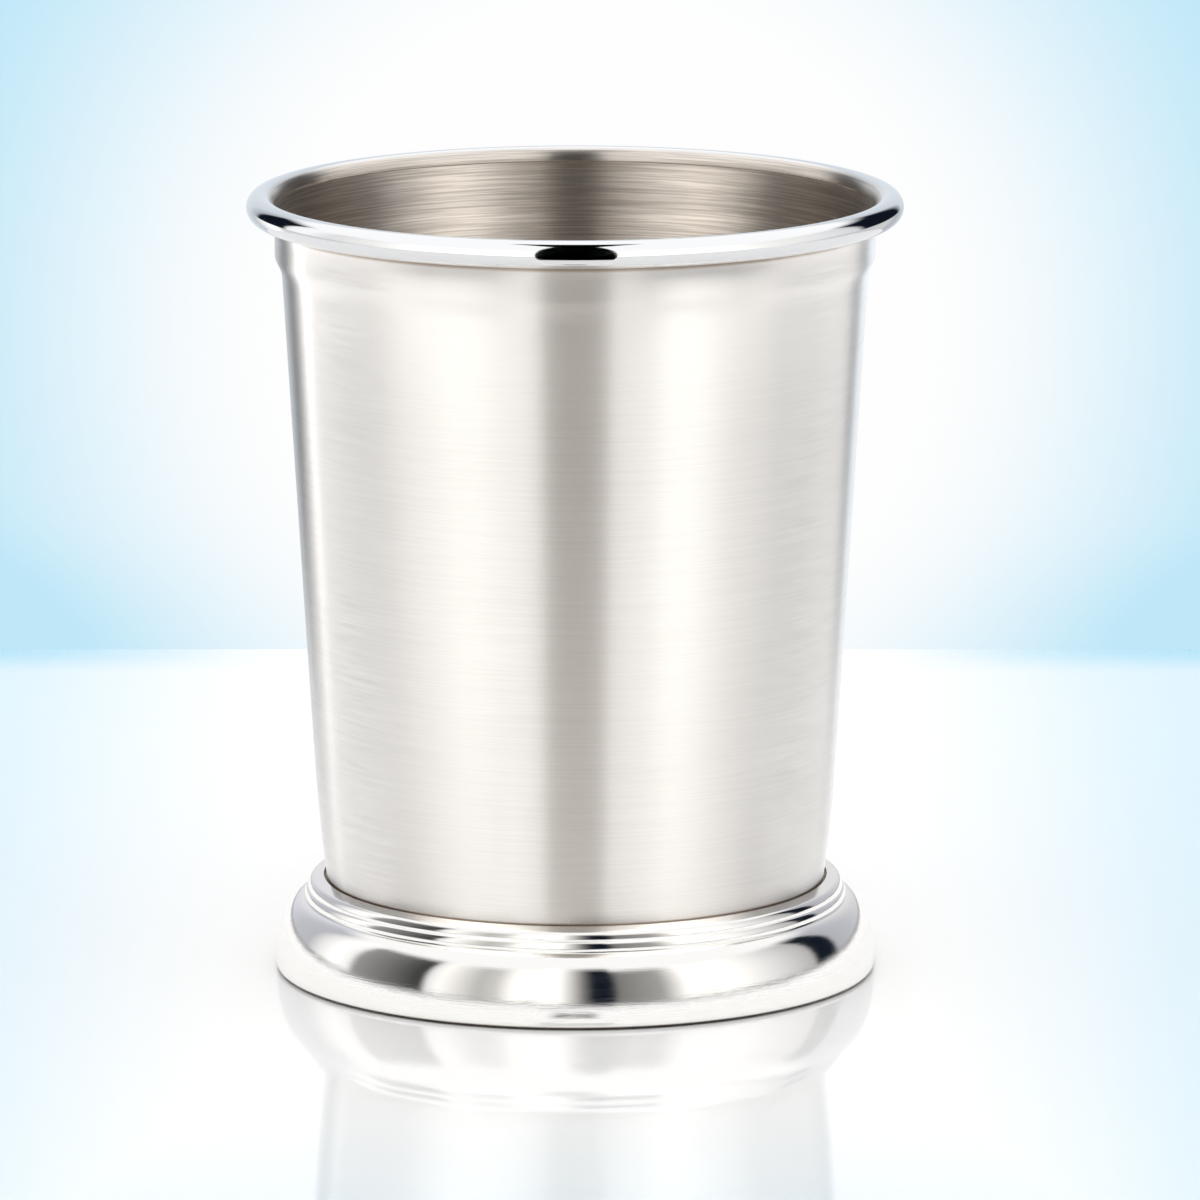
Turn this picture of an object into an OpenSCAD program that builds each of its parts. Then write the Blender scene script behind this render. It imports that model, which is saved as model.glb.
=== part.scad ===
// Julep cup: a tapered, brushed metal cup with a polished bead round its mouth
// and a polished, moulded foot. Every piece is turned about the Z axis. The
// origin is the centre of the foot's underside, and the foot rests on z = 0.

/* [Cup] */
// Overall height, from the table to the top of the bead
cup_h = 108.2; // [95:0.1:125]
// Diameter of the mouth over the bead
rim_d = 90; // [84:0.5:98]
// Outside diameter of the wall where it goes into the foot
waist_d = 68.8; // [64:0.2:72]
// Thickness of the drawn wall and floor
wall = 0.7; // [0.5:0.05:0.9]

/* [Neck] */
// How far the lip is opened out beyond the neck to carry the bead
lip_flare = 0.78; // [0.5:0.02:1.2]
// Height of the straight lip that the bead seats on
lip_land = 0.75; // [0.4:0.05:1]
// Height of the sweep from the lip down to the neck
flare_h = 3.25; // [2.5:0.05:4.5]
// Height of the plain neck band
neck_h = 2.3; // [1:0.1:5]
// How far the wall steps in below the neck band
shoulder_step = 1.02; // [0.5:0.02:1.5]
// Height of the swept shoulder below the neck band
shoulder_h = 3.7; // [3:0.1:6]
// Share of the shoulder's sweep in its upper, tighter curve
shoulder_share = 0.3; // [0.25:0.05:0.5]

/* [Heel and floor] */
// Height above the collar at which the side starts to curve in
curve_h = 17; // [10:0.5:30]
// How far the side has curved in where it meets the collar
curve_in = 0.58; // [0.2:0.02:1.2]
// Outside radius of the corner between the side and the floor
heel_r = 3; // [2:0.1:4]
// Height of the floor's underside above the table
floor_z = 8.4; // [7:0.1:9.4]
// Rise of the crowned floor at its centre
floor_rise = 0.8; // [0.2:0.1:1.5]

/* [Rim bead] */
// Diameter of the bead's round section
bead_d = 3.8; // [3:0.1:4.4]
// Thickness of the filler film in the bead's seat
film = 0.1; // [0.06:0.01:0.15]
// Width of the filler fillet under the bead
rim_fillet = 0.45; // [0.3:0.05:0.6]

/* [Foot] */
// How far the foot's dome stands out beyond the collar
dome_w = 3.86; // [2.4:0.02:8]
// Height of the foot, up to the crease under the collar
foot_h = 10.05; // [9.6:0.05:12]
// Thickness of the spun foot
foot_wall = 0.6; // [0.4:0.05:0.7]
// Width of the collar, from the wall to its widest place
collar_w = 3.1; // [2.8:0.05:3.6]
// Height of the collar's lip above the crease
collar_h = 2.95; // [2.9:0.05:3.2]
// How far the collar's upper roll stands in from its lower one
roll_step = 0.5; // [0.4:0.05:0.7]
// Open gap between the wall and the collar's lip
collar_gap = 0.4; // [0.3:0.05:0.6]
// Depth of the filler below the collar's lip
groove_depth = 0.45; // [0.4:0.05:0.6]
// Radius of the foot's bottom edge
edge_r = 0.8; // [0.75:0.05:1.5]
// Width of the hem that is spun in under the base plate
hem_w = 3.2; // [2.4:0.1:5]

/* [Base plate] */
// Thickness of the plate that closes the foot
base_t = 0.8; // [0.5:0.05:1.2]
// Clearance between the plate's edge and the foot
base_gap = 0.15; // [0.1:0.05:0.3]
// How far the plate's middle is pressed up
panel_rise = 1; // [0.4:0.1:2]
// Width of the flat border round the pressed middle
border_w = 5; // [4:0.5:9]
// Width of the slope between the border and the middle
slope_w = 2; // [1:0.25:4]

/* [Hidden] */
$fn = 180;

// Steps in each arc, in each half of the bead, and in the long curve at the heel
arc_steps = 8;
bead_steps = 16;
curve_steps = 10;

// Collar: the slope of its lip
lip_slope = 12;
// Each roll: radii of its tight and its slack arc, the angle where they meet, and
// how high above the crease its outside is upright
upper_tight = 0.9;
upper_slack = 1.6;
upper_turn = 35;
upper_h = 1.4;
lower_tight = 0.48;
lower_slack = 2;
lower_turn = 29;
lower_h = 0.15;
// Angle at which the lower roll comes out of the fine step below the upper one
step_turn = 68;
// Inside of the collar: its radius, the wall at its foot, its height and where it ends
inside_r = 2.05;
inside_wall = 0.69;
inside_h = 0.25;
inside_turn = 80;
// Filler under the collar's lip: its height at the cup's wall and at its far edge
fill_h = 1.4;
fill_edge = 0.5;

// Share of the lip's sweep in its upper curve
flare_share = 0.5;

// Bead: the radius and centre of its round section
bead_r = bead_d / 2;
bead_x = rim_d / 2 - bead_r;
bead_z = cup_h - bead_r;

// Wall, outside radii and heights from the lip down
lip_x = rim_d / 2 - bead_d + wall;
lip_top = bead_z - film;
flare_top = lip_top - lip_land;
neck_x = lip_x - lip_flare;
neck_top = flare_top - flare_h;
neck_bottom = neck_top - neck_h;
side_x = neck_x - shoulder_step;
side_top = neck_bottom - shoulder_h;

// Seat cut in the bead for the lip: its upright face and that face's lower end
seat_x = lip_x + film;
seat_bottom = bead_z - sqrt(pow(bead_r, 2) - pow(bead_x - seat_x, 2));

// Collar: its widest radius, its lip, its upper roll, and the centre of its inside
waist_x = waist_d / 2;
collar_out = waist_x + collar_w;
lip_in_x = waist_x + collar_gap;
collar_top = foot_h + collar_h;
upper_x = collar_out - roll_step;
collar_x = collar_out - inside_wall - inside_r;

// Side: it runs straight from the shoulder, then curves in above the collar
curve_top = collar_top + curve_h;
side_slope = (side_x - waist_x - curve_in) / (side_top - collar_top);

// Foot: its widest radius, the height of its dome's arch, and what it holds inside
foot_x = collar_out + dome_w;
dome_h = foot_h - edge_r;
hem_x = foot_x - hem_w;
plate_x = foot_x - foot_wall - base_gap;

// Outside radius of the side at height z, and how steeply it leans out there
function curve_share(z) = max(0, curve_top - z) / curve_h;
function side_at(z) = side_x - side_slope * (side_top - z) - curve_in * pow(curve_share(z), 2);
function lean(z) = atan(side_slope + 2 * curve_in * curve_share(z) / curve_h);

// Points of an arc about [x, z], from angle a to angle b
function arc(x, z, r, a, b, steps = arc_steps) =
    [for (i = [0:steps]) let (t = a + (b - a) * i / steps) [x + r * cos(t), z + r * sin(t)]];

function reversed(list) = [for (i = [len(list) - 1:-1:0]) list[i]];
function all_but_first(list) = [for (i = [1:len(list) - 1]) list[i]];

// Sweep of two arcs from one upright line in to another, at depth t below the
// outer surface. The upper arc has its share of the two radii.
function sweep(x0, z0, x1, z1, share, t) =
    let (w = x0 - x1, h = z0 - z1, turn = 2 * atan(w / h),
        both = (h * h + w * w) / (2 * w), upper = share * both, lower = both - upper)
    concat(
        arc(x0 - upper, z0, upper - t, 0, -turn),
        all_but_first(arc(x1 + lower, z1, lower + t, 180 - turn, 180)));

// Heel corner: where its arc starts on the side, and its centre
heel_lean = lean(floor_z + heel_r);
heel_start = floor_z + heel_r * (1 - sin(heel_lean));
heel_x = side_at(heel_start) - heel_r * cos(heel_lean);

// Line of the cup's wall and floor at depth t, from the lip to the centre
function side_line(t) =
    [for (i = [0:curve_steps])
        let (z = curve_top - (curve_top - heel_start) * i / curve_steps)
        [side_at(z) - t * cos(lean(z)), z + t * sin(lean(z))]];
function floor_line(t) =
    [for (i = [1:arc_steps])
        let (share = 1 - i / arc_steps)
        [heel_x * share, floor_z + t + floor_rise * (1 + cos(180 * share)) / 2]];
function cup_line(t) = concat(
    [[lip_x - t, lip_top]],
    sweep(lip_x, flare_top, neck_x, neck_top, flare_share, t),
    sweep(neck_x, neck_bottom, side_x, side_top, shoulder_share, t),
    side_line(t),
    all_but_first(arc(heel_x, floor_z + heel_r, heel_r - t, -heel_lean, -90)),
    floor_line(t));

// Roll from angle a down to upright at [x, z]: a tight arc, then a slack one from angle b
function roll(x, z, tight, slack, a, b) =
    let (more = slack - tight)
    concat(
        arc(x - slack + more * cos(b), z + more * sin(b), tight, a, b),
        all_but_first(arc(x - slack, z, slack, b, 0)));

// Outside of the collar: a sloping lip, an upper roll, a fine step, and a lower roll
upper_roll = roll(upper_x, foot_h + upper_h, upper_tight, upper_slack, 90 - lip_slope, upper_turn);
lower_roll = roll(collar_out, foot_h + lower_h, lower_tight, lower_slack, step_turn, lower_turn);
function collar_line() = concat(
    [[lip_in_x, upper_roll[0].y + (upper_roll[0].x - lip_in_x) * tan(lip_slope)]],
    upper_roll,
    [[upper_x, lower_roll[0].y]],
    lower_roll,
    [[collar_out, foot_h]]);

// Inside of the collar: one plain arc
function collar_inside(t) = concat(
    arc(collar_x, foot_h + inside_h, inside_r, inside_turn, 0),
    [[collar_out - t, foot_h - t]]);

// Line of the foot's sheet at depth t, from the crease to the hem
function dome_line(t) =
    [for (i = [1:arc_steps * 2])
        let (a = 90 - 90 * i / (arc_steps * 2))
        [collar_out + (dome_w - t) * cos(a), edge_r + (dome_h - t) * sin(a)]];
function foot_line(t) = concat(
    dome_line(t),
    all_but_first(arc(foot_x - edge_r, edge_r, edge_r - t, 0, -90)),
    [[hem_x, t]]);

module cup_section() {
    polygon(concat(cup_line(0), reversed(cup_line(wall))));
}

// The bead is a round ring with a seat cut in its lower inner side for the lip
module bead_section() {
    seat_angle = -180 + acos((bead_x - seat_x) / bead_r);
    polygon(concat(
        arc(bead_x, bead_z, bead_r, 180, 0, bead_steps),
        all_but_first(arc(bead_x, bead_z, bead_r, 0, seat_angle, bead_steps)),
        [[seat_x, bead_z]]));
}

module foot_section() {
    polygon(concat(
        collar_line(),
        foot_line(0),
        reversed(foot_line(foot_wall)),
        reversed(collar_inside(foot_wall))));
}

// Drawn cup, brushed inside and out
module cup_body() {
    color([0.80, 0.79, 0.77])
        rotate_extrude()
            cup_section();
}

// Polished bead round the mouth
module rim_bead() {
    color([0.90, 0.90, 0.91])
        rotate_extrude()
            bead_section();
}

// Filler that fixes the bead: a film in its seat and a small fillet under it
module rim_braze() {
    lip_in = lip_x - wall;
    color([0.52, 0.46, 0.38])
        rotate_extrude()
            difference() {
                polygon([
                    [lip_in, bead_z],
                    [seat_x + rim_fillet, bead_z],
                    [seat_x + rim_fillet, seat_bottom],
                    [lip_in, seat_bottom - rim_fillet * 1.5],
                ]);
                cup_section();
                bead_section();
            }
}

// Spun foot: collar, crease, dome, and a hem turned in under the base plate
module foot_ring() {
    color([0.88, 0.88, 0.89])
        rotate_extrude()
            foot_section();
}

// Filler at the bottom of the groove between the wall and the collar's lip
module foot_braze() {
    top = collar_top - groove_depth;
    far_x = collar_x + inside_r / 2;
    color([0.52, 0.46, 0.38])
        rotate_extrude()
            difference() {
                polygon([
                    [waist_x - wall / 2, top],
                    [far_x, top],
                    [far_x, top - fill_edge],
                    [waist_x - wall / 2, top - fill_h],
                ]);
                cup_section();
                foot_section();
            }
}

// Plate that closes the foot, held by the hem, with its middle pressed up
module base_plate() {
    slope_x = plate_x - border_w - slope_w;
    slope = [for (i = [0:arc_steps])
        let (share = i / arc_steps)
        [slope_x + slope_w * share, foot_wall + panel_rise * (1 + cos(180 * share)) / 2]];
    under = concat([[0, foot_wall + panel_rise]], slope, [[plate_x, foot_wall]]);
    upper = [for (p = under) p + [0, base_t]];
    color([0.78, 0.77, 0.76])
        rotate_extrude()
            polygon(concat(under, reversed(upper)));
}

cup_body();
rim_bead();
rim_braze();
foot_ring();
foot_braze();
base_plate();
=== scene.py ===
"""Looks of the julep cup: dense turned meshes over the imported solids, their finishes, and a plain studio.

Every length is in metres, in the part's own frame: +Z up, with the origin at the centre of the foot's
underside.
"""

import math

import bpy
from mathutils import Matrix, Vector


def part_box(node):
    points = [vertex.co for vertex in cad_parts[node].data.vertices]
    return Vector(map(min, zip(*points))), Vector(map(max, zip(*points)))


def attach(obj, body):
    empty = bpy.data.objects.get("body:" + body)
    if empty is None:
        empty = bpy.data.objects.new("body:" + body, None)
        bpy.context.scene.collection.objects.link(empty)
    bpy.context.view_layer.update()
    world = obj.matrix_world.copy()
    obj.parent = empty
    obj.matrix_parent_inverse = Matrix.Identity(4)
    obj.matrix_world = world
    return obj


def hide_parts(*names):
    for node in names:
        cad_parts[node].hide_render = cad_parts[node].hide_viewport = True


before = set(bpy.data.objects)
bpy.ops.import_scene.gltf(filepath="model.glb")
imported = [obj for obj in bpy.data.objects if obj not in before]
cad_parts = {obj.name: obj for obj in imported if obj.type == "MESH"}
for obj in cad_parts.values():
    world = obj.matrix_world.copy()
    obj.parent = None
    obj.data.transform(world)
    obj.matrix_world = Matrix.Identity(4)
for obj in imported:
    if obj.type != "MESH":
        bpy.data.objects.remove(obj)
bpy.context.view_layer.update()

MM = 0.001

# Rounds of the turned meshes, and the longest step along their outlines
SEGMENTS = 256
LONGEST_STEP = 1.2 * MM
# Steps of an arc, of the bead's half round, of the foot's dome and of the long curve over the foot
ARC_STEPS = 16
BEAD_STEPS = 40
DOME_STEPS = 48
CURVE_STEPS = 24
# Edges that turn by more than this stay sharp
SHARP = math.radians(40)
# Anything shorter counts as nothing
NOTHING = 1e-9

# Overall sizes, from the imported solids
bead_low, bead_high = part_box("rim_bead")
foot_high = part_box("foot_ring")[1]
CUP_H = bead_high.z
RIM_R = max(bead_high.x, bead_high.y)
BEAD_R = (bead_high.z - bead_low.z) / 2
FOOT_X = max(foot_high.x, foot_high.y)

# Cup
WALL = 0.7 * MM
WAIST_X = 34.4 * MM
LIP_FLARE = 0.78 * MM
LIP_LAND = 0.75 * MM
FLARE_H = 3.25 * MM
FLARE_SHARE = 0.5
NECK_H = 2.3 * MM
SHOULDER_STEP = 1.02 * MM
SHOULDER_H = 3.7 * MM
SHOULDER_SHARE = 0.3
CURVE_H = 17 * MM
CURVE_IN = 0.58 * MM
HEEL_R = 3 * MM
FLOOR_Z = 8.4 * MM
FLOOR_RISE = 0.8 * MM
FILM = 0.1 * MM

# Foot and base plate
DOME_W = 3.86 * MM
FOOT_H = 10.05 * MM
FOOT_WALL = 0.6 * MM
COLLAR_H = 2.95 * MM
ROLL_STEP = 0.5 * MM
LIP_GAP = 0.4 * MM
LIP_SLOPE = 12
UPPER_TIGHT = 0.9 * MM
UPPER_SLACK = 1.6 * MM
UPPER_TURN = 35
UPPER_H = 1.4 * MM
LOWER_TIGHT = 0.48 * MM
LOWER_SLACK = 2 * MM
LOWER_TURN = 29
LOWER_H = 0.15 * MM
STEP_TURN = 68
INSIDE_R = 2.05 * MM
INSIDE_WALL = 0.69 * MM
INSIDE_H = 0.25 * MM
INSIDE_TURN = 80
EDGE_R = 0.8 * MM
HEM_W = 3.2 * MM
BASE_T = 0.8 * MM
BASE_GAP = 0.15 * MM
PANEL_RISE = 1 * MM
BORDER_W = 5 * MM
SLOPE_W = 2 * MM

# Places that follow from these, as in the solids
bead_x = RIM_R - BEAD_R
bead_z = CUP_H - BEAD_R
lip_x = RIM_R - 2 * BEAD_R + WALL
lip_top = bead_z - FILM
flare_top = lip_top - LIP_LAND
neck_x = lip_x - LIP_FLARE
neck_top = flare_top - FLARE_H
neck_bottom = neck_top - NECK_H
side_x = neck_x - SHOULDER_STEP
side_top = neck_bottom - SHOULDER_H
seat_x = lip_x + FILM
collar_out = FOOT_X - DOME_W
collar_top = FOOT_H + COLLAR_H
upper_x = collar_out - ROLL_STEP
curve_top = collar_top + CURVE_H
side_slope = (side_x - WAIST_X - CURVE_IN) / (side_top - collar_top)


def curve_share(z):
    return max(0.0, curve_top - z) / CURVE_H


def side_at(z):
    """Outside radius of the side at height z."""
    return side_x - side_slope * (side_top - z) - CURVE_IN * curve_share(z) ** 2


def lean(z):
    """Angle at which the side leans out at height z, in radians."""
    return math.atan(side_slope + 2 * CURVE_IN * curve_share(z) / CURVE_H)


def arc(x, z, r, a, b, steps=ARC_STEPS):
    """Points of an arc about (x, z), from angle a to angle b in degrees."""
    turns = [math.radians(a + (b - a) * i / steps) for i in range(steps + 1)]
    return [(x + r * math.cos(t), z + r * math.sin(t)) for t in turns]


def sweep(x0, z0, x1, z1, share, t):
    """Two tangent arcs from one upright line in to another, at depth t below the outer surface."""
    w, h = x0 - x1, z0 - z1
    turn = math.degrees(2 * math.atan(w / h))
    both = (h * h + w * w) / (2 * w)
    upper, lower = share * both, (1 - share) * both
    return arc(x0 - upper, z0, upper - t, 0, -turn) + arc(x1 + lower, z1, lower + t, 180 - turn, 180)[1:]


heel_lean = lean(FLOOR_Z + HEEL_R)
heel_start = FLOOR_Z + HEEL_R * (1 - math.sin(heel_lean))
heel_x = side_at(heel_start) - HEEL_R * math.cos(heel_lean)


def side_line(t):
    heights = [curve_top - (curve_top - heel_start) * i / CURVE_STEPS for i in range(CURVE_STEPS + 1)]
    return [(side_at(z) - t * math.cos(lean(z)), z + t * math.sin(lean(z))) for z in heights]


def floor_line(t):
    shares = [1 - i / ARC_STEPS for i in range(1, ARC_STEPS + 1)]
    return [(heel_x * s, FLOOR_Z + t + FLOOR_RISE * (1 + math.cos(math.pi * s)) / 2) for s in shares]


def cup_line(t):
    """The cup's wall and floor at depth t, from the lip to the axis."""
    return (
        [(lip_x - t, lip_top)]
        + sweep(lip_x, flare_top, neck_x, neck_top, FLARE_SHARE, t)
        + sweep(neck_x, neck_bottom, side_x, side_top, SHOULDER_SHARE, t)
        + side_line(t)
        + arc(heel_x, FLOOR_Z + HEEL_R, HEEL_R - t, -math.degrees(heel_lean), -90)[1:]
        + floor_line(t)
    )


def roll(x, z, tight, slack, a, b):
    """A roll from angle a down to upright at (x, z): a tight arc, then a slack one from angle b."""
    more = slack - tight
    turn = math.radians(b)
    return (
        arc(x - slack + more * math.cos(turn), z + more * math.sin(turn), tight, a, b)
        + arc(x - slack, z, slack, b, 0)[1:]
    )


def collar_line():
    """The outside of the collar: a sloping lip, an upper roll, a fine step and a lower roll."""
    upper = roll(upper_x, FOOT_H + UPPER_H, UPPER_TIGHT, UPPER_SLACK, 90 - LIP_SLOPE, UPPER_TURN)
    lower = roll(collar_out, FOOT_H + LOWER_H, LOWER_TIGHT, LOWER_SLACK, STEP_TURN, LOWER_TURN)
    lip_in = WAIST_X + LIP_GAP
    lip = (lip_in, upper[0][1] + (upper[0][0] - lip_in) * math.tan(math.radians(LIP_SLOPE)))
    return [lip] + upper + [(upper_x, lower[0][1])] + lower + [(collar_out, FOOT_H)]


def collar_inside():
    """The inside of the collar: one plain arc."""
    x = collar_out - INSIDE_WALL - INSIDE_R
    end = (collar_out - FOOT_WALL, FOOT_H - FOOT_WALL)
    return arc(x, FOOT_H + INSIDE_H, INSIDE_R, INSIDE_TURN, 0) + [end]


def foot_line(t):
    """The foot's sheet at depth t, from the crease to the hem's edge."""
    dome_w, dome_h = DOME_W - t, FOOT_H - EDGE_R - t
    turns = [math.radians(90 - 90 * i / DOME_STEPS) for i in range(1, DOME_STEPS + 1)]
    return (
        [(collar_out + dome_w * math.cos(a), EDGE_R + dome_h * math.sin(a)) for a in turns]
        + arc(FOOT_X - EDGE_R, EDGE_R, EDGE_R - t, 0, -90)[1:]
        + [(FOOT_X - HEM_W, t)]
    )


def bead_outline():
    """The bead's round section with the seat for the lip cut in its lower inner side."""
    seat_angle = -180 + math.degrees(math.acos((bead_x - seat_x) / BEAD_R))
    upper = arc(bead_x, bead_z, BEAD_R, 180, 0, BEAD_STEPS)
    lower = arc(bead_x, bead_z, BEAD_R, 0, seat_angle, BEAD_STEPS)
    return upper + lower[1:] + [(seat_x, bead_z)]


def plate_outline():
    """The base plate: a flat border, and a middle that is pressed up."""
    edge_x = FOOT_X - FOOT_WALL - BASE_GAP
    slope_x = edge_x - BORDER_W - SLOPE_W
    shares = [i / ARC_STEPS for i in range(ARC_STEPS + 1)]
    rises = [PANEL_RISE * (1 + math.cos(math.pi * s)) / 2 for s in shares]
    slope = [(slope_x + SLOPE_W * s, FOOT_WALL + rise) for s, rise in zip(shares, rises)]
    under = [(0.0, FOOT_WALL + PANEL_RISE)] + slope + [(edge_x, FOOT_WALL)]
    return under + [(x, z + BASE_T) for x, z in reversed(under)]


def cup_outline():
    return cup_line(0) + cup_line(WALL)[::-1]


def foot_outline():
    return collar_line() + foot_line(0) + foot_line(FOOT_WALL)[::-1] + collar_inside()[::-1]


def fine(outline):
    """The outline with no step longer than LONGEST_STEP and no point twice."""
    points = []
    for a, b in zip(outline, outline[1:] + outline[:1]):
        length = math.dist(a, b)
        if length < NOTHING:
            continue
        parts = max(1, math.ceil(length / LONGEST_STEP))
        shares = [i / parts for i in range(parts)]
        points += [(a[0] + (b[0] - a[0]) * s, a[1] + (b[1] - a[1]) * s) for s in shares]
    return points


def turned(name, outline, node, material):
    """A piece turned about Z from a closed outline of (radius, height) points. It replaces the CAD node.

    Its run attribute is the way along the outline, from the first point.
    """
    points = fine(outline)
    on_axis = [x < NOTHING for x, z in points]
    verts, rings, run = [], [], []
    length = 0.0
    for i, (x, z) in enumerate(points):
        if i:
            length += math.dist(points[i - 1], points[i])
        ring = 1 if on_axis[i] else SEGMENTS
        rings.append([len(verts) + k % ring for k in range(SEGMENTS)])
        turns = [2 * math.pi * k / SEGMENTS for k in range(ring)]
        verts += [(x * math.cos(t), x * math.sin(t), z) for t in turns]
        run += [length] * ring
    faces = []
    for i, a in enumerate(rings):
        j = (i + 1) % len(rings)
        b = rings[j]
        if on_axis[i] and on_axis[j]:
            continue
        for k in range(SEGMENTS):
            m = (k + 1) % SEGMENTS
            corners = [a[k], b[k], b[m], a[m]]
            faces.append([v for n, v in enumerate(corners) if v != corners[n - 1]])
    mesh = bpy.data.meshes.new(name)
    mesh.from_pydata(verts, [], faces)
    mesh.attributes.new("run", "FLOAT", "POINT").data.foreach_set("value", run)
    mesh.shade_smooth()
    mesh.set_sharp_from_angle(angle=SHARP)
    mesh.materials.append(material)
    piece = bpy.data.objects.new(name, mesh)
    bpy.context.scene.collection.objects.link(piece)
    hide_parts(node)
    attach(piece, "root")
    return piece


def add(tree, kind, inputs=None, **settings):
    """A new node with these settings. A socket among its inputs is linked, and any other value is set."""
    node = tree.nodes.new(kind)
    for name, value in settings.items():
        setattr(node, name, value)
    for name, value in (inputs or {}).items():
        if isinstance(value, bpy.types.NodeSocket):
            tree.links.new(value, node.inputs[name])
        else:
            node.inputs[name].default_value = value
    return node


def sums(tree, operation, *values, clamp=False):
    """The result of one math node."""
    inputs = dict(enumerate(values))
    return add(tree, "ShaderNodeMath", inputs, operation=operation, use_clamp=clamp).outputs[0]


def product(tree, value, *factors):
    """The product of all these."""
    for factor in factors:
        value = sums(tree, "MULTIPLY", value, factor)
    return value


def between(tree, value, low, high, from_value=0.0, to_value=1.0, smooth=True):
    """value's place between low and high, mapped to from_value and to_value."""
    inputs = {"Value": value, "From Min": low, "From Max": high, "To Min": from_value, "To Max": to_value}
    kind = "SMOOTHSTEP" if smooth else "LINEAR"
    return add(tree, "ShaderNodeMapRange", inputs, interpolation_type=kind).outputs["Result"]


def mixed(tree, factor, a, b):
    """The mix of two colours."""
    node = add(tree, "ShaderNodeMix", data_type="RGBA")
    for socket, value in ((node.inputs[0], factor), (node.inputs[6], a), (node.inputs[7], b)):
        if isinstance(value, bpy.types.NodeSocket):
            tree.links.new(value, socket)
        else:
            socket.default_value = value
    return node.outputs[2]


def ramp(tree, factor, stops):
    """A colour ramp over 0 to 1, from (place, colour) stops."""
    node = add(tree, "ShaderNodeValToRGB", {"Fac": factor})
    elements = node.color_ramp.elements
    while len(elements) < len(stops):
        elements.new(0.5)
    for element, (place, colour) in zip(elements, stops):
        element.position = place
        element.color = colour
    return node.outputs["Color"]


def blank(name):
    """A new material with an empty tree, and its output node."""
    material = bpy.data.materials.new(name)
    material.use_nodes = True
    material.node_tree.nodes.clear()
    return material, material.node_tree, material.node_tree.nodes.new("ShaderNodeOutputMaterial")


def object_xyz(tree):
    """X, Y and Z of the place on the object."""
    place = add(tree, "ShaderNodeTexCoord").outputs["Object"]
    return tuple(add(tree, "ShaderNodeSeparateXYZ", {0: place}).outputs)


def run_along(tree):
    """The way along the outline of a turned piece."""
    return add(tree, "ShaderNodeAttribute", attribute_name="run").outputs["Fac"]


def noise(tree, scale, detail, roughness, vector=None):
    """Noise from 0 to 1."""
    inputs = {"Scale": scale, "Detail": detail, "Roughness": roughness}
    if vector:
        inputs["Vector"] = vector
    return add(tree, "ShaderNodeTexNoise", inputs).outputs["Fac"]


def streaks(tree, along, across, shift=0.0):
    """Noise in thin lines round the axis: along and across are their usual length and width."""
    x, y, z = object_xyz(tree)
    inputs = {
        0: sums(tree, "MULTIPLY_ADD", x, 1 / along, shift),
        1: sums(tree, "MULTIPLY", y, 1 / along),
        2: sums(tree, "MULTIPLY", run_along(tree), 1 / across),
    }
    vector = add(tree, "ShaderNodeCombineXYZ", inputs).outputs[0]
    return noise(tree, 1.0, STREAK_DETAIL, STREAK_ROUGHNESS, vector)


def bumped(tree, lines, depth, normal=None):
    """The normal with these lines cut in to this depth."""
    inputs = {"Height": lines, "Distance": depth, "Strength": 1.0}
    if normal:
        inputs["Normal"] = normal
    return add(tree, "ShaderNodeBump", inputs).outputs[0]


def finish(tree, output, colour, metal, rough, anisotropic=None, normal=None):
    """Ends a material in one shader. anisotropic is how far its lines run round the axis."""
    inputs = {"Base Color": colour, "Metallic": metal, "Roughness": rough}
    if anisotropic is not None:
        inputs["Anisotropic"] = anisotropic
        inputs["Anisotropic Rotation"] = ROUND
        inputs["Tangent"] = add(tree, "ShaderNodeTangent", direction_type="RADIAL", axis="Z").outputs[0]
    if normal:
        inputs["Normal"] = normal
    shader = add(tree, "ShaderNodeBsdfPrincipled", inputs)
    tree.links.new(shader.outputs[0], output.inputs["Surface"])


# Lines in the finishes: usual length and width, and for some a shift that keeps their pattern apart
STREAK_DETAIL = 2.0
STREAK_ROUGHNESS = 0.6
FINE_LINES = (9 * MM, 0.10 * MM)
LONG_LINES = (16 * MM, 0.22 * MM, 7.0)
INSIDE_LINES = (14 * MM, 0.22 * MM, 3.0)
BEAD_LINES = (14 * MM, 0.15 * MM, 3.0)
BEAD_HAZE = (12 * MM, 0.4 * MM)
FOOT_LINES = (7 * MM, 0.10 * MM)
PLATE_LINES = (15 * MM, 0.2 * MM)
# Depths of the lines that are cut in
BRUSHED_DEPTH = 0.006 * MM
FOOT_DEPTH = 0.005 * MM
PLATE_DEPTH = 0.005 * MM
# Turns the anisotropic lines round the axis
ROUND = 0.25
# How far the plate's finish follows its lines, and how metallic the filler is
PLATE_ANISOTROPIC = 0.8
FILLER_METAL = 0.7

# Colours of the finishes. The top one is painted light: the wall is written lighter where it lies under the
# bead, to offset the bead's shade.
BRUSHED = (0.82, 0.799, 0.774, 1)
BRUSHED_DARK = (0.78, 0.76, 0.735, 1)
BRUSHED_PAINTED_LIGHT = (0.88, 0.858, 0.831, 1)
# The inside's colours are darker and browner than the outside's: partly the steel's brownish tint inside,
# partly painted shade of the inside. The bead's inner side takes them too.
INSIDE = (0.76, 0.705, 0.65, 1)
INSIDE_DARK = (0.52, 0.475, 0.43, 1)
RESIDUE = (0.30, 0.20, 0.12, 1)
# Painted contact shadow for the foot's lowest edge
CONTACT_SHADOW = (0.10, 0.07, 0.05, 1)
FOOT = (0.97, 0.955, 0.935, 1)
BEAD = (0.73, 0.735, 0.745, 1)
FILLER = (0.42, 0.36, 0.29, 1)
FILLER_DARK = (0.16, 0.11, 0.07, 1)
PLATE = (0.8, 0.79, 0.78, 1)
PLATE_DARK = (0.66, 0.65, 0.64, 1)

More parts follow.
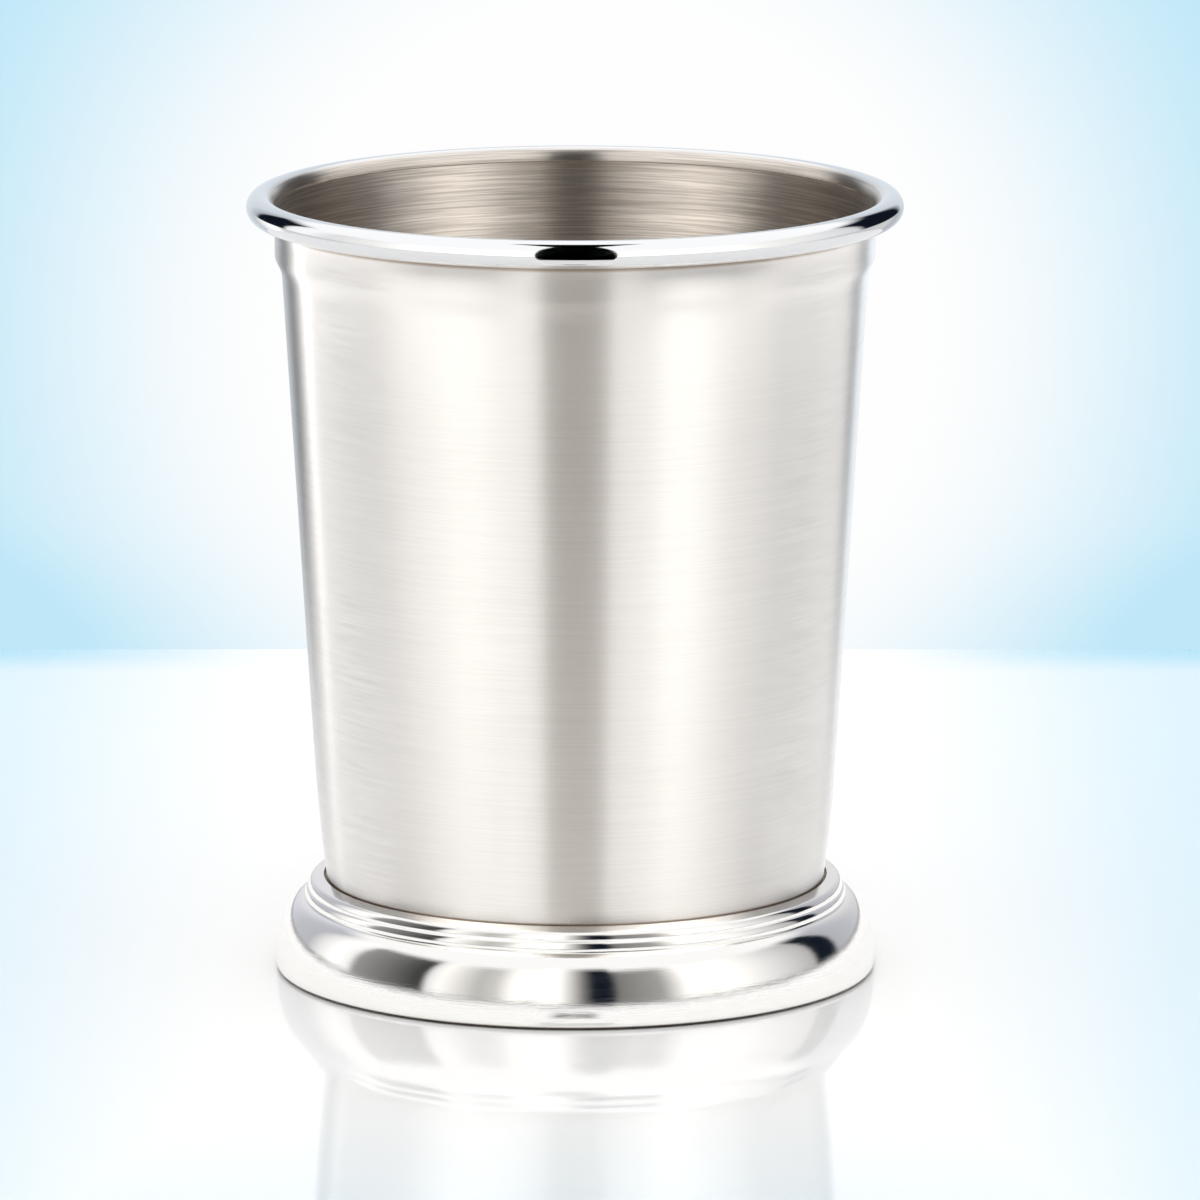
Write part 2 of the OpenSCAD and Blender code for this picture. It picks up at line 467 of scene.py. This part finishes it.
# Roughness, lowest and highest
BRUSHED_ROUGH = (0.33, 0.41)
BEAD_ROUGH = (0.03, 0.07)
BEAD_INSIDE_ROUGH = 0.33
FOOT_ROUGH = (0.04, 0.13)
FILLER_ROUGH = (0.4, 0.7)
PLATE_ROUGH = 0.35

# Levels of noise between which tones, roughness and specks change over, then noise as scale, detail, roughness
TONE = (0.3, 0.7)
BROWN_TONE = (0.35, 0.65)
ROUGH_TONE = (0.25, 0.75)
HAZE_TONE = (0.35, 0.75)
FOOT_TONE = (0.3, 0.8)
FILLER_TONE = (0.35, 0.7)
SPECK_TONE = (0.56, 0.64)
SPECKS = (2000.0, 3.0, 0.7)
FILLER_SPOTS = (900.0, 4.0, 0.5)

# Residue at the cup's two joints: from the joint, where it starts to fade and where it ends, and its share
seam_top = bead_z - BEAD_R
LOW_LINE = (0.08 * MM, 0.34 * MM, 0.8)
LOW_SPECKS = (0.2 * MM, 2.2 * MM, 0.9)
HIGH_LINE = (0.4 * MM, 0.95 * MM, 0.75)
HIGH_SPECKS = (0.6 * MM, 2.3 * MM, 0.55)
# Painted contact shadow at the foot's lower edge, as heights
FOOT_CONTACT_SHADOW = (0.30 * MM, 0.60 * MM)
# Below the seam, where the painted light under the bead starts and is full
PAINTED_LIGHT_START = 28 * MM
PAINTED_LIGHT_FULL = 2 * MM
# Over the collar, where the reflections start to smooth over the wall's form, and how far they do
LEVEL_START = 20 * MM
LEVEL_FULL = 40 * MM
LEVEL_OUTSIDE = 0.7
LEVEL_INSIDE = 0.85
# The bead's brushed inner side starts and is full at these shares of its radius, inward of its middle
INNER_START = 0.3
INNER_FULL = 0.75


def faded(tree, distance, start, end, share):
    """This share up to the start, and then less, down to none at the end."""
    return between(tree, distance, start, end, share, 0.0)


def residue(tree, height):
    """Share of residue at this height of the wall: a line and specks at each joint."""
    over = sums(tree, "SUBTRACT", height, collar_top)
    under = sums(tree, "SUBTRACT", seam_top, height)
    lines = sums(tree, "MAXIMUM", faded(tree, over, *LOW_LINE), faded(tree, under, *HIGH_LINE))
    near = sums(tree, "MAXIMUM", faded(tree, over, *LOW_SPECKS), faded(tree, under, *HIGH_SPECKS))
    specks = product(tree, near, between(tree, noise(tree, *SPECKS), *SPECK_TONE))
    return sums(tree, "MAXIMUM", specks, lines)


def levelled(tree, share):
    """The normal, laid level by this share."""
    normal = add(tree, "ShaderNodeNewGeometry").outputs["Normal"]
    flat = add(tree, "ShaderNodeVectorMath", {0: normal, 1: (1, 1, 0)}, operation="MULTIPLY").outputs[0]
    level = add(tree, "ShaderNodeVectorMath", {0: flat}, operation="NORMALIZE").outputs[0]
    inputs = {0: share, 4: normal, 5: level}
    return add(tree, "ShaderNodeMix", inputs, data_type="VECTOR").outputs[1]


def brushed_steel():
    """Steel with fine lines brushed round it, inside and out, and brown residue at its two joints."""
    material, tree, output = blank("brushed_steel")
    height = object_xyz(tree)[2]
    outside = sum(math.dist(a, b) for a, b in zip(cup_line(0), cup_line(0)[1:]))
    inside = between(tree, run_along(tree), outside, outside + MM)
    tone = between(tree, streaks(tree, *LONG_LINES), *TONE)
    brown_tone = between(tree, streaks(tree, *INSIDE_LINES), *BROWN_TONE)
    # Painted light: the wall's colour grows lighter towards the bead, to offset the bead's shade
    upper = between(tree, height, seam_top - PAINTED_LIGHT_START, seam_top - PAINTED_LIGHT_FULL)
    colour = mixed(tree, tone, BRUSHED_DARK, BRUSHED)
    colour = mixed(tree, upper, colour, BRUSHED_PAINTED_LIGHT)
    # The inside takes its darker, browner colour, which is partly painted shade
    colour = mixed(tree, inside, colour, mixed(tree, brown_tone, INSIDE_DARK, INSIDE))
    stain = product(tree, residue(tree, height), sums(tree, "SUBTRACT", 1.0, inside))
    colour = mixed(tree, stain, colour, RESIDUE)
    lines = streaks(tree, *FINE_LINES)
    rough = between(tree, lines, *ROUGH_TONE, *BRUSHED_ROUGH)
    high = between(tree, height, collar_top + LEVEL_START, collar_top + LEVEL_FULL)
    share = product(tree, high, between(tree, inside, 0, 1, LEVEL_OUTSIDE, LEVEL_INSIDE, smooth=False))
    normal = bumped(tree, lines, BRUSHED_DEPTH, levelled(tree, share))
    finish(tree, output, colour, 1.0, rough, 1.0, normal)
    return material


def polished_steel():
    """Mirror polish, with brushed lines on the inner side."""
    material, tree, output = blank("polished_steel")
    rough = between(tree, streaks(tree, *BEAD_HAZE), *HAZE_TONE, *BEAD_ROUGH)
    place = add(tree, "ShaderNodeTexCoord").outputs["Object"]
    flat = add(tree, "ShaderNodeVectorMath", {0: place, 1: (1, 1, 0)}, operation="MULTIPLY")
    away = add(tree, "ShaderNodeVectorMath", {0: flat.outputs[0]}, operation="LENGTH").outputs["Value"]
    inner = between(tree, away, bead_x - INNER_START * BEAD_R, bead_x - INNER_FULL * BEAD_R)
    # The inner side takes the inside's colours, which are partly painted shade
    brown = mixed(tree, between(tree, streaks(tree, *BEAD_LINES), *BROWN_TONE), INSIDE_DARK, INSIDE)
    rough = sums(tree, "MAXIMUM", rough, product(tree, inner, BEAD_INSIDE_ROUGH))
    finish(tree, output, mixed(tree, inner, BEAD, brown), 1.0, rough, inner)
    return material


def polished_foot():
    """Mirror polish with faint lines from turning, and a painted contact shadow: a dark line where it meets
    the table.
    """
    material, tree, output = blank("polished_foot")
    lines = streaks(tree, *FOOT_LINES)
    rough = between(tree, lines, *FOOT_TONE, *FOOT_ROUGH)
    # Painted contact shadow: the colour goes dark at the foot's lowest edge, where it meets the table
    edge = between(tree, object_xyz(tree)[2], *FOOT_CONTACT_SHADOW, 1.0, 0.0)
    colour = mixed(tree, edge, FOOT, CONTACT_SHADOW)
    finish(tree, output, colour, 1.0, rough, normal=bumped(tree, lines, FOOT_DEPTH))
    return material


def filler():
    """Dull, browned brazing filler."""
    material, tree, output = blank("filler")
    spots = noise(tree, *FILLER_SPOTS)
    colour = mixed(tree, between(tree, spots, *FILLER_TONE), FILLER, FILLER_DARK)
    finish(tree, output, colour, FILLER_METAL, between(tree, spots, *TONE, *FILLER_ROUGH))
    return material


def satin_steel():
    """Satin steel with turning lines."""
    material, tree, output = blank("satin_steel")
    lines = streaks(tree, *PLATE_LINES)
    colour = mixed(tree, lines, PLATE_DARK, PLATE)
    finish(tree, output, colour, 1.0, PLATE_ROUGH, PLATE_ANISOTROPIC, bumped(tree, lines, PLATE_DEPTH))
    return material


cup = turned("cup", cup_outline(), "cup_body", brushed_steel())
bead = turned("bead", bead_outline(), "rim_bead", polished_steel())
foot = turned("foot", foot_outline(), "foot_ring", polished_foot())
turned("plate", plate_outline(), "base_plate", satin_steel())
fill = filler()
for node in ("rim_braze", "foot_braze"):
    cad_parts[node].data.materials.clear()
    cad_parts[node].data.materials.append(fill)

# Studio. Azimuth 0 is the camera's side and 90 is +X. Levels are 1 for white.
WARM = (1.0, 0.985, 0.955)
WHITE = (1.0, 1.0, 1.0)
SKY = (0.88, 0.94, 1.0)
LAVENDER = (0.86, 0.88, 0.96)
NAVY = (0.006, 0.010, 0.018)

TABLE_W = 1.2
TABLE_BACK = 0.227
TABLE_FRONT = -0.6
TABLE = (0.98, 0.98, 0.98, 1)
TABLE_TINT = (0.58, 0.80, 0.92, 1)
BACK_TINT = (0.20, 0.64, 0.86, 1)
TABLE_ROUGH = 0.04
TABLE_IOR = 1.45
# The table's tint for the camera: where it starts and is full, and where it starts and ends to fade again
SIDE_TINT = (0.040, 0.100)
SIDE_FADE = (0.10, 0.15)
FRONT_TINT = (-0.06, -0.25)
FRONT_FADE = (-0.18, -0.24)
TINT_LEFT = 0.3
BACK_W = 0.022
BACK_FADE = (0.11, 0.15)


def shade(level, tint=WHITE):
    return tuple(level * c for c in tint) + (1,)


def flat_piece(name, corners, material):
    """A stage piece of one flat face."""
    mesh = bpy.data.meshes.new(name)
    mesh.from_pydata(corners, [], [tuple(range(len(corners)))])
    mesh.materials.append(material)
    piece = bpy.data.objects.new(name, mesh)
    bpy.context.scene.collection.objects.link(piece)
    return piece


def floor_material():
    """A glossy white table. Only the camera sees its tint away from the cup and along its far edge."""
    material, tree, output = blank("floor")
    x, y, z = object_xyz(tree)
    seen = add(tree, "ShaderNodeLightPath").outputs["Is Camera Ray"]
    aside = sums(tree, "ABSOLUTE", x)
    sides = between(tree, aside, *SIDE_TINT)
    far_sides = product(tree, sides, between(tree, aside, *SIDE_FADE, 1.0, TINT_LEFT))
    front = product(tree, between(tree, y, *FRONT_TINT), between(tree, y, *FRONT_FADE, 1.0, TINT_LEFT))
    tint = product(tree, sums(tree, "MAXIMUM", far_sides, front), seen)
    colour = mixed(tree, tint, TABLE, TABLE_TINT)
    back = between(tree, y, TABLE_BACK - BACK_W, TABLE_BACK)
    back = product(tree, back, sides, between(tree, aside, *BACK_FADE, 1.0, 0.0), seen)
    inputs = {"Base Color": mixed(tree, back, colour, BACK_TINT), "Roughness": TABLE_ROUGH, "IOR": TABLE_IOR}
    shader = add(tree, "ShaderNodeBsdfPrincipled", inputs)
    tree.links.new(shader.outputs[0], output.inputs["Surface"])
    return material


floor_corners = [
    (-TABLE_W / 2, TABLE_FRONT, 0),
    (TABLE_W / 2, TABLE_FRONT, 0),
    (TABLE_W / 2, TABLE_BACK, 0),
    (-TABLE_W / 2, TABLE_BACK, 0),
]
floor = flat_piece("floor", floor_corners, floor_material())


def around(tree, rings, top):
    """Colour by direction from the origin. rings holds, from the bottom up, the colours by azimuth and the
    elevations between which they give way to the next, and top lies over the last."""
    place = add(tree, "ShaderNodeNewGeometry").outputs["Position"]
    way = add(tree, "ShaderNodeVectorMath", {0: place}, operation="NORMALIZE").outputs[0]
    xyz = add(tree, "ShaderNodeSeparateXYZ", {0: way})
    front = sums(tree, "MULTIPLY", xyz.outputs[1], -1.0)
    azimuth = sums(tree, "ARCTAN2", xyz.outputs[0], front)
    turn = between(tree, azimuth, -math.pi, math.pi, smooth=False)
    elevation = sums(tree, "ARCSINE", xyz.outputs[2])
    colour = None
    for ring, upto in rings:
        sides = ramp(tree, turn, [((a + 180) / 360, shade(*look)) for a, *look in ring])
        colour = mixed(tree, up, colour, sides) if colour else sides
        up = between(tree, elevation, math.radians(upto[0]), math.radians(upto[1]))
    return mixed(tree, up, colour, shade(*top))


def lights(piece, left_out=(), only=()):
    """Lets a piece light only some pieces, or all but some."""
    lit = bpy.data.collections.new(piece.name + "_lights")
    for other in (*left_out, *only):
        lit.objects.link(other)
    piece.light_linking.receiver_collection = lit
    for row in lit.collection_objects:
        row.light_linking.link_state = "EXCLUDE" if left_out else "INCLUDE"
    return piece


def dome(name, radius, rings, top, left_out=(), only=()):
    """Light from all round that the camera doesn't see."""
    material, tree, output = blank(name)
    light = add(tree, "ShaderNodeEmission", {"Color": around(tree, rings, top), "Strength": 1.0})
    clear = add(tree, "ShaderNodeBsdfTransparent")
    both = add(tree, "ShaderNodeAddShader", {0: light.outputs[0], 1: clear.outputs[0]})
    tree.links.new(both.outputs[0], output.inputs["Surface"])
    material.cycles.emission_sampling = "NONE"
    bpy.ops.mesh.primitive_uv_sphere_add(segments=DOME_SEGMENTS, ring_count=DOME_RINGS, radius=radius)
    piece = bpy.context.object
    piece.name = name
    piece.data.materials.append(material)
    piece.visible_camera = False
    return lights(piece, left_out, only)


DOME_SEGMENTS = 64
DOME_RINGS = 32

# Rings of light round each kind of piece, as (azimuth, level, tint). LOW is near the horizon.
BEAD_LOW = [
    (-180, 0.95, SKY),
    (-160, 0.85, SKY),
    (-150, 0.75, SKY),
    (-138, 1.2),
    (-128, 1.5),
    (-122, 0.85),
    (-108, 0.80),
    (-92, 0.85),
    (-75, 1.05, WARM),
    (-45, 1.9, WARM),
    (-24, 1.9, WARM),
    (24, 1.7, WARM),
    (45, 1.8, WARM),
    (75, 1.2, WARM),
    (100, 0.8),
    (125, 0.75),
    (140, 0.8),
    (152, 0.6, SKY),
    (180, 0.95, SKY),
]
BEAD_ROOM = [
    (-180, 0.95, SKY),
    (-158, 0.90, SKY),
    (-147, 0.60, SKY),
    (-144, 1, NAVY),
    (-122, 1, NAVY),
    (-119, 1.2),
    (-108, 1.3),
    (-95, 1.0),
    (-75, 1.2, WARM),
    (-45, 1.7, WARM),
    (-20, 1.7, WARM),
    (20, 1.5, WARM),
    (45, 1.6, WARM),
    (75, 1.2, WARM),
    (100, 1.05),
    (116, 0.9),
    (121, 1, NAVY),
    (153, 1, NAVY),
    (160, 0.85, SKY),
    (180, 0.95, SKY),
]
FOOT_ROOM = [
    (-180, 0.82),
    (-163, 0.82, LAVENDER),
    (-144, 0.62, LAVENDER),
    (-128, 0.57, LAVENDER),
    (-119, 0.85),
    (-108, 1.15),
    (-99, 0.95),
    (-95, 0.30),
    (-62, 0.03),
    (-59, 0.85),
    (-54, 1.10, WARM),
    (-46, 0.80, WARM),
    (-38, 0.52, WARM),
    (-31, 0.62, WARM),
    (-24, 1.15, WARM),
    (-6, 1.20, WARM),
    (0, 0.50, WARM),
    (3, 0.18, WARM),
    (6, 1, NAVY),
    (15, 1, NAVY),
    (16.5, 0.20, WARM),
    (34, 0.36, WARM),
    (40, 0.80, WARM),
    (44, 1.15, WARM),
    (65, 1.15, WARM),
    (84, 0.80),
    (106, 0.46),
    (108.5, 1, NAVY),
    (121, 1, NAVY),
    (124, 0.52, LAVENDER),
    (142, 0.60, LAVENDER),
    (180, 0.82),
]
CUP_LOW = [
    (-180, 0.95, SKY),
    (-160, 0.75, SKY),
    (-148, 0.15, SKY),
    (-138, 0.9),
    (-132, 3.2),
    (-127, 1.7),
    (-114, 1.8),
    (-95, 1.4),
    (-70, 0.9, WARM),
    (-56, 0.4, WARM),
    (-30, 0.4, WARM),
    (-20, 1.0, WARM),
    (15, 1.0, WARM),
    (30, 0.1, WARM),
    (65, 0.1, WARM),
    (80, 0.9, WARM),
    (95, 1.3),
    (117, 1.5),
    (136, 1.2),
    (147, 0.4, SKY),
    (157, 1.4, SKY),
    (180, 0.95, SKY),
]
CUP_ROOM = [
    (-180, 1.1, SKY),
    (-162, 0.9, SKY),
    (-150, 1, NAVY),
    (-112, 1, NAVY),
    (-98, 0.20),
    (-77, 0.60, WARM),
    (-56, 0.45, WARM),
    (-38, 0.45, WARM),
    (-20, 0.80, WARM),
    (14, 0.55, WARM),
    (31, 0.20, WARM),
    (49, 0.10, WARM),
    (69, 0.15, WARM),
    (91, 0.30),
    (104, 0.20),
    (112, 1, NAVY),
    (150, 1, NAVY),
    (162, 0.9, SKY),
    (180, 1.1, SKY),
]
CUP_HIGH = [
    (-180, 1.1, SKY),
    (-162, 0.9, SKY),
    (-150, 1, NAVY),
    (-105, 1, NAVY),
    (-94, 0.20),
    (-77, 5.0, WARM),
    (-56, 6.0, WARM),
    (-38, 4.4, WARM),
    (-20, 1.0, WARM),
    (14, 1.4, WARM),
    (31, 2.8, WARM),
    (46, 6.8, WARM),
    (54, 6.8, WARM),
    (69, 5.8, WARM),
    (88, 4.6),
    (99, 0.10),
    (105, 1, NAVY),
    (150, 1, NAVY),
    (162, 0.9, SKY),
    (180, 1.1, SKY),
]
TABLE_GLOW = [
    (-180, 0.30),
    (-80, 0.30),
    (-58, 0.0),
    (-28, 0.0),
    (-20, 0.25),
    (20, 0.15),
    (30, 0.0),
    (68, 0.0),
    (82, 0.20),
    (180, 0.30),
]
EVEN = [(-180, 1.0), (180, 1.0)]
HORIZON = [(-180, 0.35), (180, 0.35)]
# Each ring with the elevations between which it gives way to the next, and the level over the last
BEAD_RINGS = [(BEAD_LOW, (-2, 0)), (BEAD_ROOM, (28, 38))]
CUP_RINGS = [(CUP_LOW, (5, 7)), (CUP_ROOM, (26, 32)), (CUP_HIGH, (68, 78))]
FOOT_RINGS = [(EVEN, (0.2, 1.2)), (HORIZON, (2.0, 3.4)), (FOOT_ROOM, (34, 45))]
FLOOR_RINGS = [(EVEN, (0, 30))]
TABLE_RINGS = [(TABLE_GLOW, (10, 20))]
BEAD_TOP = (1.3, WHITE)
CUP_TOP = (0.25, WHITE)
FOOT_TOP = (1.0, WHITE)
FLOOR_TOP = (1.09, WHITE)
TABLE_TOP = (0, WHITE)
# The domes' radii differ, so that none lies in another
BEAD_DOME_R = 3.5
CUP_DOME_R = 4.0
FOOT_DOME_R = 4.5
FLOOR_DOME_R = 5.0

dome("bead_room", BEAD_DOME_R, BEAD_RINGS, BEAD_TOP, only=[bead])
dome("room", CUP_DOME_R, CUP_RINGS, CUP_TOP, left_out=[foot, floor, bead])
dome("foot_room", FOOT_DOME_R, FOOT_RINGS, FOOT_TOP, only=[foot])
dome("floor_room", FLOOR_DOME_R, FLOOR_RINGS, FLOOR_TOP, only=[floor])

# Dark cards in front, one upright and one on the table up to it, which make the stripe down the cup. Only
# what mirrors them sees them, and each looks right to one kind of piece and is plain to the others.
CARD_Y = -0.181
CARD_X = 0.0015
CARD_W = 0.080
CARD_H = 0.50
OVERHEAD_W = 0.17
NEAR_Y = -0.046
NEAR_W = 0.0135
# Gap between cards that would lie in one plane
LAYER = 0.1 * MM
GLOW_GAP = 1 * MM
STRIPE = (0.64, (1.0, 0.95, 0.89))
INSIDE_STRIPE = (0.02, WARM)
STRIPE_RINGS = [([(-180, *STRIPE), (180, *STRIPE)], (29, 38))]
# The dark line on the table card: fades at its near and far side, ahead of the foot, and at its ends
MARK_NEAR = (NEAR_Y - 0.006, NEAR_Y - 0.010)
MARK_FAR = (NEAR_Y - 0.018, NEAR_Y - 0.024)
MARK_ENDS = (0.004, 0.0075)
MARK = (0.2, WARM)


def card(name, corners, colour, clear=False):
    """A one-sided card that glows in one colour, or in the one that colour(tree) gives. It is clear from
    behind, and all through if clear."""
    material, tree, output = blank(name)
    inputs = {"Color": colour(tree) if callable(colour) else colour, "Strength": 1.0}
    light = add(tree, "ShaderNodeEmission", inputs)
    empty = add(tree, "ShaderNodeBsdfTransparent")
    front = light.outputs[0]
    if clear:
        front = add(tree, "ShaderNodeAddShader", {0: front, 1: empty.outputs[0]}).outputs[0]
    back = add(tree, "ShaderNodeNewGeometry").outputs["Backfacing"]
    both = add(tree, "ShaderNodeMixShader", {0: back, 1: front, 2: empty.outputs[0]})
    tree.links.new(both.outputs[0], output.inputs["Surface"])
    material.cycles.emission_sampling = "NONE"
    piece = flat_piece(name, corners, material)
    piece.visible_camera = False
    piece.visible_diffuse = False
    piece.visible_shadow = False
    return piece


def upright(y):
    """The corners of an upright card that faces the cup."""
    low, high = CARD_X - CARD_W / 2, CARD_X + CARD_W / 2
    return [(high, y, 0), (low, y, 0), (low, y, CARD_H), (high, y, CARD_H)]


def lying(z):
    """The corners of a card that lies on the table, from the foot to the upright one."""
    far, near = CARD_W / 2, NEAR_W / 2
    return [
        (CARD_X - far, CARD_Y, z),
        (CARD_X + far, CARD_Y, z),
        (near, NEAR_Y, z),
        (-near, NEAR_Y, z),
    ]


def marked(tree):
    """White with one dark line across, near the foot."""
    x, y, z = object_xyz(tree)
    ends = between(tree, sums(tree, "ABSOLUTE", x), *MARK_ENDS, 1.0, 0.0)
    line = product(tree, between(tree, y, *MARK_NEAR), between(tree, y, *MARK_FAR, 1.0, 0.0), ends)
    return mixed(tree, line, shade(1.0), shade(*MARK))


overhead_corners = [
    (CARD_X - CARD_W / 2, CARD_Y, CARD_H),
    (CARD_X - OVERHEAD_W / 2, 0, CARD_H),
    (CARD_X + OVERHEAD_W / 2, 0, CARD_H),
    (CARD_X + CARD_W / 2, CARD_Y, CARD_H),
]
glow_corners = [(x, y, 3 * LAYER) for x, y, z in floor_corners]
# Each card's corners, its colour, whether it only adds light, the pieces it is left out for, and the only
# pieces it is for
cards = {
    "card": (upright(CARD_Y), lambda tree: around(tree, FOOT_RINGS, FOOT_TOP), False, [], [foot]),
    "overhead_card": (overhead_corners, shade(1.0), False, [], [foot]),
    "card_glow": (
        upright(CARD_Y + GLOW_GAP), lambda tree: around(tree, STRIPE_RINGS, INSIDE_STRIPE), True, [], [cup]
    ),
    "table_card": (lying(LAYER), marked, False, [cup], []),
    "table_glow": (glow_corners, lambda tree: around(tree, TABLE_RINGS, TABLE_TOP), True, [], [cup]),
    "table_card_glow": (lying(2 * LAYER), shade(*STRIPE), True, [], [cup]),
}
for name, (corners, colour, clear, left_out, only) in cards.items():
    lights(card(name, corners, colour, clear), left_out, only)

# The backdrop, which only the camera sees: white round the middle of the view, blue away from it, and paler
# again beyond the photograph's frame. Distances are between unit directions.
VIEW_MIDDLE = (0, 0.9866, -0.1632)
WHITE_TO_BLUE = (0.028, 0.068)
BLUE_TO_PALE = (0.09, 0.3)
# Just over the table the blue comes sooner, by this share
LOW_WAY = (-0.178, -0.190)
LOW_MORE = 0.3
BACKDROP = (0.99, 0.99, 0.99, 1)
BACKDROP_BLUE = (0.52, 0.80, 0.94, 1)
BACKDROP_PALE = (0.80, 0.91, 0.97, 1)

world = bpy.data.worlds.new("world")
bpy.context.scene.world = world
world.use_nodes = True
tree = world.node_tree
tree.nodes.clear()
seen = add(tree, "ShaderNodeLightPath").outputs["Is Camera Ray"]
way = add(tree, "ShaderNodeTexCoord").outputs["Generated"]
off = add(tree, "ShaderNodeVectorMath", {0: way, 1: VIEW_MIDDLE}, operation="DISTANCE").outputs["Value"]
low = between(tree, add(tree, "ShaderNodeSeparateXYZ", {0: way}).outputs[2], *LOW_WAY)
more = sums(tree, "MULTIPLY_ADD", low, LOW_MORE, 1.0)
blue = sums(tree, "MULTIPLY", between(tree, off, *WHITE_TO_BLUE), more, clamp=True)
colour = mixed(tree, blue, BACKDROP, BACKDROP_BLUE)
colour = mixed(tree, between(tree, off, *BLUE_TO_PALE), colour, BACKDROP_PALE)
backdrop = add(tree, "ShaderNodeBackground", {"Color": colour, "Strength": seen})
add(tree, "ShaderNodeOutputWorld", {"Surface": backdrop.outputs[0]})

# Camera: the photograph's view, from a little above and far off
VIEW_DISTANCE = 1.5
VIEW_ELEVATION = math.radians(10.814)
VIEW_HEIGHT = 51.33 * MM
VIEW_ASIDE = 3.42 * MM
SENSOR = 36.0
LENS = 326.57

camera = bpy.data.objects.new("camera", bpy.data.cameras.new("camera"))
bpy.context.scene.collection.objects.link(camera)
camera.data.sensor_width = SENSOR
camera.data.lens = LENS
camera.data.clip_start = 0.05
camera.data.clip_end = 20
away = Vector((0, -math.cos(VIEW_ELEVATION), math.sin(VIEW_ELEVATION)))
camera.location = Vector((VIEW_ASIDE, 0, VIEW_HEIGHT)) + away * VIEW_DISTANCE
camera.rotation_euler = (math.pi / 2 - VIEW_ELEVATION, 0, 0)
bpy.context.scene.camera = camera
bpy.context.scene.view_settings.view_transform = "Standard"
